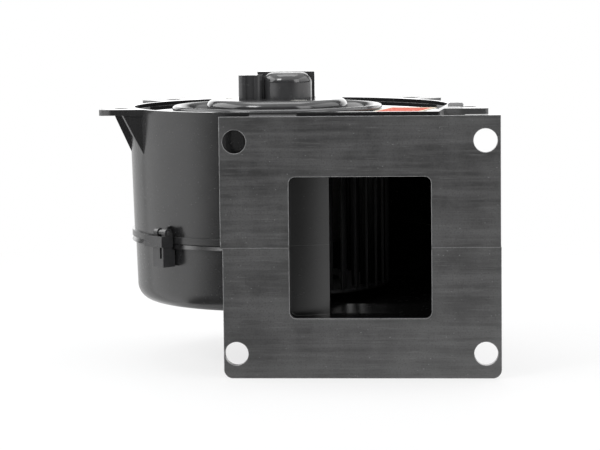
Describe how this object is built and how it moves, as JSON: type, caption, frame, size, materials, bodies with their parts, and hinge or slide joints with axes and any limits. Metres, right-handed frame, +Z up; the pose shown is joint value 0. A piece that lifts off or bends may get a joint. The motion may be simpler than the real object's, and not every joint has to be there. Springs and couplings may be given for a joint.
{
  "type": "blower motor",
  "caption": "Single-inlet centrifugal blower in black plastic, with the motor in its inlet and a square outlet behind a bolt-on flange.",
  "frame": {"origin": "middle of the outlet flange's front face, on the joint of the two shells", "axes": "-Y out of the outlet, +Z up along the fan's axis towards the motor cap, +X to the right for someone who faces the outlet"},
  "size_m": [0.157, 0.1294, 0.1146],
  "materials": {
    "housing_black": "glossy moulded black plastic, satin on the flange face",
    "wheel_black": "matt black plastic",
    "latch_black": "glossy moulded black plastic",
    "pin_steel": "drawn steel wire",
    "label_red": "plain red and cream sticker",
    "can_steel": "zinc-plated deep-drawn steel",
    "zinc_cast": "die-cast end plate",
    "rubber": "soft black rubber",
    "ferrite": "sintered ferrite magnet, dark grey",
    "spring_steel": "spring steel",
    "shaft_steel": "ground steel",
    "lamination": "stacked electrical steel",
    "copper": "enamelled copper wire",
    "commutator_copper": "turned copper bars",
    "bronze": "oil-soaked sintered bronze",
    "card_brown": "pressed phenolic board",
    "brass": "stamped brass",
    "carbon": "carbon brush block",
    "screw_steel": "zinc-plated steel"
  },
  "bodies": {
    "housing": {"upper_shell": "housing_black", "lower_shell": "housing_black", "motor_carrier": "housing_black", "connector_housing": "housing_black", "terminals": "brass", "rating_label": "label_red", "motor_can": "can_steel", "end_bell": "zinc_cast", "isolator": "rubber", "magnet_front": "ferrite", "magnet_rear": "ferrite", "magnet_springs": "spring_steel", "upper_bearing": "bronze", "lower_bearing": "bronze", "brush_card": "card_brown", "brush_holders": "brass", "brush_spring_left": "spring_steel", "brush_spring_right": "spring_steel", "motor_screws": "screw_steel", "latch_pins": "pin_steel"},
    "rotor": {"blower_wheel": "wheel_black", "wheel_insert": "brass", "wheel_clip": "spring_steel", "motor_shaft": "shaft_steel", "armature_core": "lamination", "armature_windings": "copper", "commutator": "commutator_copper", "thrust_washers": "card_brown"},
    "brush_left": {"brush_left": "carbon"},
    "brush_right": {"brush_right": "carbon"},
    "latch_1": {"latch_1": "latch_black"},
    "latch_2": {"latch_2": "latch_black"},
    "latch_3": {"latch_3": "latch_black"},
    "latch_4": {"latch_4": "latch_black"},
    "latch_5": {"latch_5": "latch_black"}
  },
  "joints": [
    {"name": "rotor_spin", "type": "hinge", "parent": "housing", "child": "rotor", "pos_m": [-0.0355, 0.0585, 0], "axis": [0, 0, 1], "continuous": true},
    {"name": "latch_1_hinge", "type": "hinge", "parent": "housing", "child": "latch_1", "pos_m": [-0.07857, 0.0179, 0.0043], "axis": [-0.7314, 0.682, 0], "range_deg": [0, 100]},
    {"name": "latch_2_hinge", "type": "hinge", "parent": "housing", "child": "latch_2", "pos_m": [-0.08636, 0.09732, 0.0043], "axis": [0.5592, 0.829, 0], "range_deg": [0, 100]},
    {"name": "latch_3_hinge", "type": "hinge", "parent": "housing", "child": "latch_3", "pos_m": [-0.03505, 0.12576, 0.0043], "axis": [0.9994, 0.0349, 0], "range_deg": [0, 100]},
    {"name": "latch_4_hinge", "type": "hinge", "parent": "housing", "child": "latch_4", "pos_m": [0.02236, 0.0989, 0.0043], "axis": [0.6157, -0.788, 0], "range_deg": [0, 100]},
    {"name": "latch_5_hinge", "type": "hinge", "parent": "housing", "child": "latch_5", "pos_m": [0.03454, 0.02785, 0.0043], "axis": [-0.0952, -0.9955, 0], "range_deg": [0, 100]},
    {"name": "brush_left_slide", "type": "slide", "parent": "housing", "child": "brush_left", "axis": [-1, 0, 0], "range_m": [0, 0.003], "stiffness_N_per_m": 150, "springref_m": -0.004, "deforming": ["brush_spring_left"]},
    {"name": "brush_right_slide", "type": "slide", "parent": "housing", "child": "brush_right", "axis": [1, 0, 0], "range_m": [0, 0.003], "stiffness_N_per_m": 150, "springref_m": -0.004, "deforming": ["brush_spring_right"]}
  ]
}
